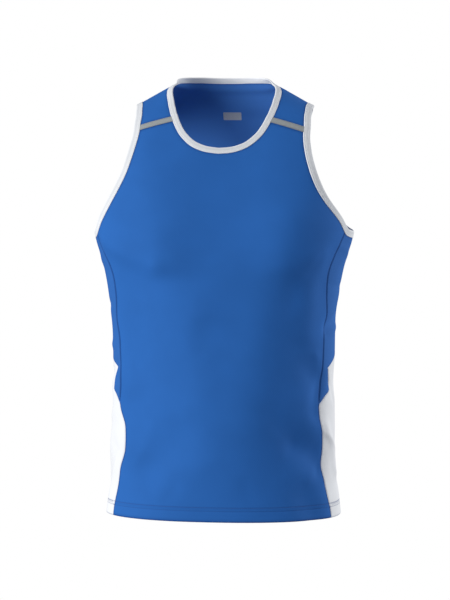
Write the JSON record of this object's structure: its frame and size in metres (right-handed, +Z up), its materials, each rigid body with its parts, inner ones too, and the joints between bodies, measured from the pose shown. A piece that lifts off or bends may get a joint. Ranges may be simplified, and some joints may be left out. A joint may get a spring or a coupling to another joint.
{
  "type": "sleeveless running vest",
  "caption": "Sleeveless running vest in worn form, with bound neck and armholes, two-tone side panels and reflective shoulder strips.",
  "frame": {"origin": "between the wearer's shoulders, level with the middle of the shoulder straps, where the vest hangs", "axes": "+Z up along the wearer's back, +X to the wearer's left, the front faces -Y"},
  "size_m": [0.4155, 0.2461, 0.7024],
  "materials": {
    "blue_mesh": "royal blue knitted polyester, fine piqué mesh, matt",
    "blue_side": "royal blue smooth knitted polyester, matt",
    "white_side": "white smooth knitted polyester, matt",
    "white_rib": "white knitted rib binding, matt",
    "reflective_grey": "grey glass-bead reflective tape on cloth, soft sheen"
  },
  "bodies": {
    "root": {"front_panel": "blue_mesh", "back_panel": "blue_mesh", "side_upper_left": "blue_side", "side_upper_right": "blue_side", "side_lower_left": "white_side", "side_lower_right": "white_side", "neck_binding": "white_rib", "armhole_binding_left": "white_rib", "armhole_binding_right": "white_rib", "shoulder_strip_left": "reflective_grey", "shoulder_strip_right": "reflective_grey"}
  },
  "joints": []
}
